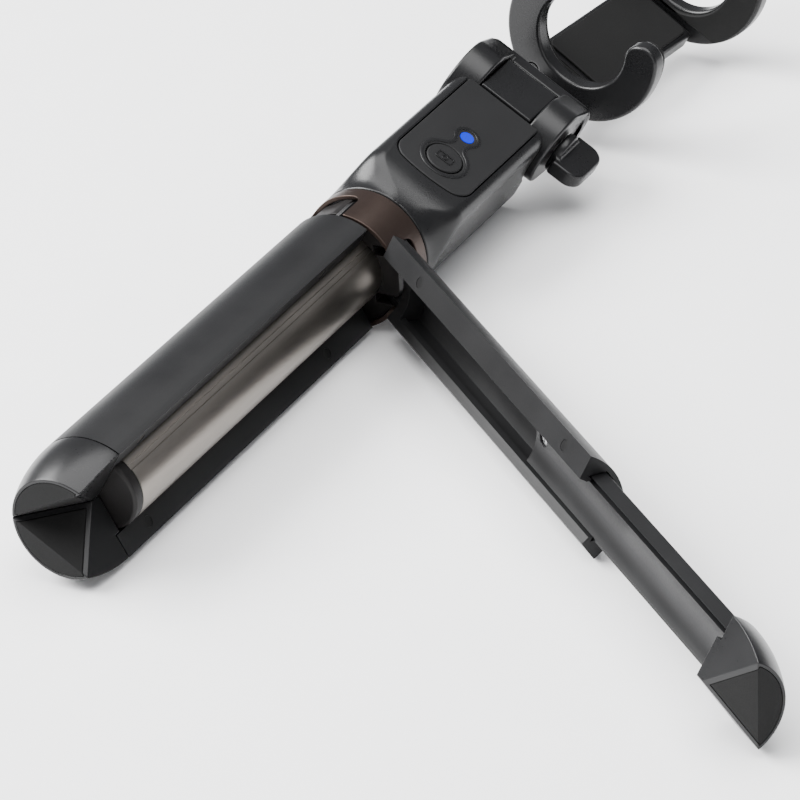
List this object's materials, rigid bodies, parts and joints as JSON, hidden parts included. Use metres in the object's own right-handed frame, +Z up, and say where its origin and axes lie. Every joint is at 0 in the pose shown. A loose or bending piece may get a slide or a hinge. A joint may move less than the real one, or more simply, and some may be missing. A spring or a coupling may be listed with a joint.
{
  "type": "selfie stick",
  "caption": "Selfie stick whose handle splits into three hinged, extending tripod legs round a telescopic pole, with a lift-out remote in the head and a sprung phone clamp.",
  "frame": {"origin": "middle of the base of the whole object's box, on the table it lies on", "axes": "+X along the stick from its feet to its head, +Z up from the table; the opened leg lies towards -Y"},
  "size_m": [0.3218, 0.2027, 0.0534],
  "materials": {
    "leg_shell": "fine matte moulded black",
    "leg_slide": "satin black",
    "foot_gloss": "semi-gloss black",
    "foot_rubber": "matte black rubber",
    "steel": "plated",
    "pole_metal": "gunmetal anodised, satin",
    "inner_plastic": "matte black",
    "collar_bronze": "satin bronze brown",
    "head_satin": "semi-gloss black",
    "remote_matte": "matte black",
    "led_blue": "clear blue",
    "board": "green board",
    "cell": "nickel",
    "clamp_rubber": "matte black rubber"
  },
  "bodies": {
    "base": {"pole_tube_1": "pole_metal", "pole_end_cap": "inner_plastic", "hinge_collar": "collar_bronze", "hinge_hub": "inner_plastic", "hinge_pins": "steel", "tube_guide_1": "inner_plastic"},
    "leg_a": {"leg_a_shell": "leg_shell", "leg_a_magnets": "steel"},
    "leg_a_extension": {"leg_a_slide": "leg_slide", "leg_a_slide_screw": "steel", "leg_a_foot": "foot_gloss", "leg_a_foot_pad": "foot_rubber"},
    "leg_b": {"leg_b_shell": "leg_shell", "leg_b_magnets": "steel"},
    "leg_b_extension": {"leg_b_slide": "leg_slide", "leg_b_slide_screw": "steel", "leg_b_foot": "foot_gloss", "leg_b_foot_pad": "foot_rubber"},
    "leg_c": {"leg_c_shell": "leg_shell", "leg_c_magnets": "steel"},
    "leg_c_extension": {"leg_c_slide": "leg_slide", "leg_c_slide_screw": "steel", "leg_c_foot": "foot_gloss", "leg_c_foot_pad": "foot_rubber"},
    "pole_stage_2": {"pole_tube_2": "pole_metal", "tube_glide_2": "inner_plastic", "tube_guide_2": "inner_plastic"},
    "pole_stage_3": {"pole_tube_3": "pole_metal", "tube_glide_3": "inner_plastic", "tube_guide_3": "inner_plastic"},
    "pole_stage_4": {"pole_tube_4": "pole_metal", "tube_glide_4": "inner_plastic", "tube_guide_4": "inner_plastic"},
    "pole_stage_5": {"pole_tube_5": "pole_metal", "tube_glide_5": "inner_plastic", "head_shell": "head_satin", "head_underside": "head_satin", "head_screws": "steel", "tilt_block": "head_satin"},
    "remote": {"remote_tray": "remote_matte", "remote_cover": "remote_matte", "led_lens": "led_blue", "remote_board": "board", "coin_cell": "cell"},
    "shutter_button": {"shutter_button": "remote_matte"},
    "tilt_bracket": {"tilt_bracket": "head_satin", "tilt_nut": "steel"},
    "thumb_screw": {"tilt_screw": "steel", "thumb_knob": "head_satin"},
    "clamp": {"swivel_pin": "steel", "clamp_plate": "head_satin", "plate_pad": "clamp_rubber", "spring_post": "steel", "near_jaw": "head_satin", "near_jaw_pad": "clamp_rubber", "jaw_screws": "steel"},
    "clamp_rail": {"slide_rail": "head_satin", "far_jaw": "head_satin", "far_jaw_pad": "clamp_rubber", "clamp_spring": "steel"}
  },
  "joints": [
    {"name": "leg_a_hinge", "type": "hinge", "parent": "base", "child": "leg_a", "pos_m": [-0.01682, 0.08968, 0.02747], "axis": [0, 0.8729, -0.488], "range_deg": [0, 58]},
    {"name": "leg_a_slide_out", "type": "slide", "parent": "leg_a", "child": "leg_a_extension", "axis": [-1, 0, 0], "range_m": [0, 0.074]},
    {"name": "leg_b_hinge", "type": "hinge", "parent": "base", "child": "leg_b", "pos_m": [-0.01682, 0.08996, 0.00669], "axis": [0, -0.859, -0.5119], "range_deg": [0, 58]},
    {"name": "leg_b_slide_out", "type": "slide", "parent": "leg_b", "child": "leg_b_extension", "axis": [-1, 0, 0], "range_m": [0, 0.074]},
    {"name": "leg_c_hinge", "type": "hinge", "parent": "base", "child": "leg_c", "pos_m": [-0.01682, 0.07182, 0.01683], "axis": [0, -0.0138, 0.9999], "range_deg": [-52, 6]},
    {"name": "leg_c_slide_out", "type": "slide", "parent": "leg_c", "child": "leg_c_extension", "axis": [-0.6157, -0.7879, -0.0109], "range_m": [-0.074, 0]},
    {"name": "pole_slide_2", "type": "slide", "parent": "base", "child": "pole_stage_2", "axis": [1, 0, 0], "range_m": [0, 0.1]},
    {"name": "pole_slide_3", "type": "slide", "parent": "pole_stage_2", "child": "pole_stage_3", "axis": [1, 0, 0], "range_m": [0, 0.1]},
    {"name": "pole_slide_4", "type": "slide", "parent": "pole_stage_3", "child": "pole_stage_4", "axis": [1, 0, 0], "range_m": [0, 0.1]},
    {"name": "pole_slide_5", "type": "slide", "parent": "pole_stage_4", "child": "pole_stage_5", "axis": [1, 0, 0], "range_m": [0, 0.1]},
    {"name": "remote_lift", "type": "slide", "parent": "pole_stage_5", "child": "remote", "axis": [0, -0.5119, 0.859], "range_m": [0, 0.012]},
    {"name": "shutter_press", "type": "slide", "parent": "remote", "child": "shutter_button", "axis": [0, 0.5119, -0.859], "range_m": [0, 0.0005], "stiffness_N_per_m": 600, "springref_m": -0.0005},
    {"name": "clamp_tilt", "type": "hinge", "parent": "pole_stage_5", "child": "tilt_bracket", "pos_m": [0.05948, 0.0786, 0.02576], "axis": [0, -0.859, -0.5119], "range_deg": [-40, 90]},
    {"name": "thumb_screw_turn", "type": "hinge", "parent": "tilt_bracket", "child": "thumb_screw", "pos_m": [0.05948, 0.0786, 0.02576], "axis": [0, -0.859, -0.5119], "range_deg": [-360, 0]},
    {"name": "clamp_swivel", "type": "hinge", "parent": "tilt_bracket", "child": "clamp", "pos_m": [0.10848, 0.08273, 0.01297], "axis": [0, -0.5119, 0.859], "range_deg": [-90, 90]},
    {"name": "jaw_slide", "type": "slide", "parent": "clamp", "child": "clamp_rail", "axis": [0.9962, -0.0749, -0.0446], "range_m": [0, 0.035], "stiffness_N_per_m": 120, "springref_m": -0.012}
  ]
}
